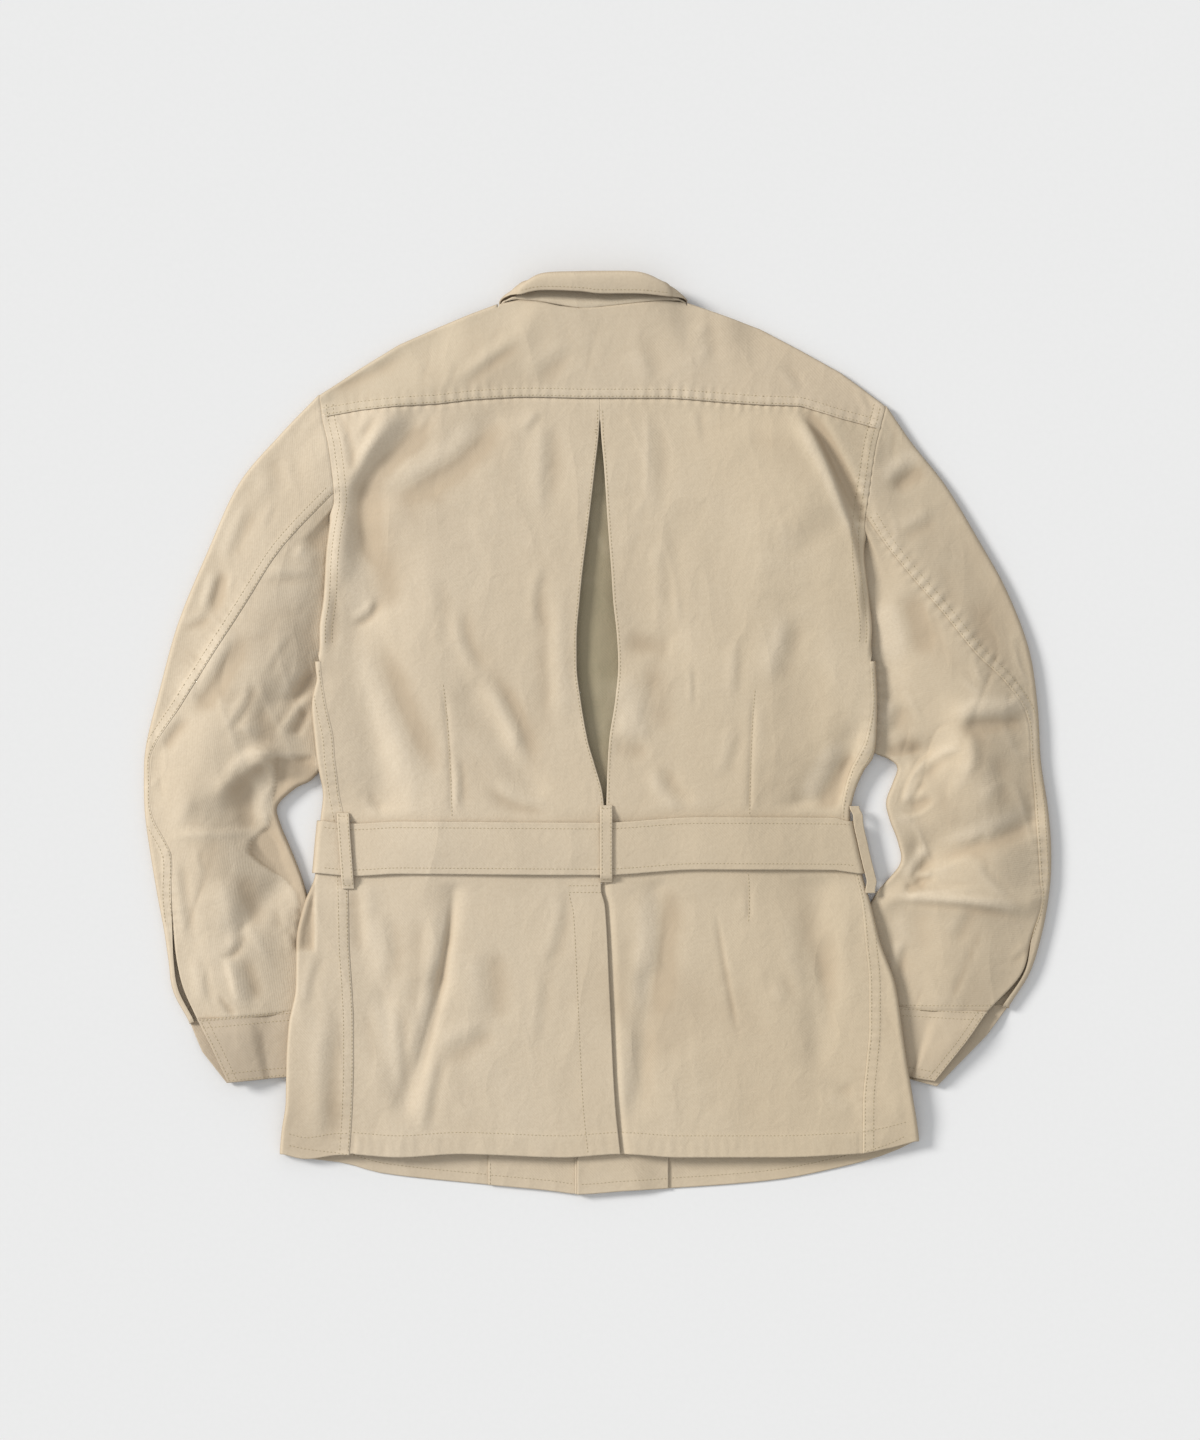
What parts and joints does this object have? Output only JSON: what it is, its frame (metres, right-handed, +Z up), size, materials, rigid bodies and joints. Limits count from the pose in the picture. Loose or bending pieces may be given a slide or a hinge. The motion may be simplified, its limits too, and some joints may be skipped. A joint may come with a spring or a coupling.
{
  "type": "bush jacket",
  "caption": "Belted khaki cotton bush jacket laid face down, its back with yoke, long centre pleat, belt and vent on top, sleeves folded in beside the body",
  "frame": {"origin": "centre of the jacket's box on the surface it lies on, below the middle of the back", "axes": "+Y from the hem to the collar, +X to the wearer's right, which is the viewer's right from above, +Z up through the cloth from the front to the back"},
  "size_m": [0.8152, 0.8306, 0.0332],
  "materials": {
    "khaki_cotton": "washed cotton twill, matt, with felled double-stitched seams",
    "plated_steel": "plain plated wire and strip, satin",
    "urea_button": "moulded urea, dark brown, half matt"
  },
  "bodies": {
    "root": {"back_left": "khaki_cotton", "back_pleat": "khaki_cotton", "back_right": "khaki_cotton", "back_yoke": "khaki_cotton", "belt": "khaki_cotton", "belt_buckle": "plated_steel", "belt_loop_centre": "khaki_cotton", "belt_loop_left": "khaki_cotton", "belt_loop_right": "khaki_cotton", "collar_fall": "khaki_cotton", "collar_stand": "khaki_cotton", "cuff_button_left": "urea_button", "cuff_button_right": "urea_button", "cuff_left": "khaki_cotton", "cuff_right": "khaki_cotton", "facing_left": "khaki_cotton", "facing_right": "khaki_cotton", "front_button_1": "urea_button", "front_button_2": "urea_button", "front_button_3": "urea_button", "front_button_4": "urea_button", "front_left": "khaki_cotton", "front_right": "khaki_cotton", "sleeve_left_top": "khaki_cotton", "sleeve_left_under": "khaki_cotton", "sleeve_right_top": "khaki_cotton", "sleeve_right_under": "khaki_cotton"}
  },
  "joints": []
}
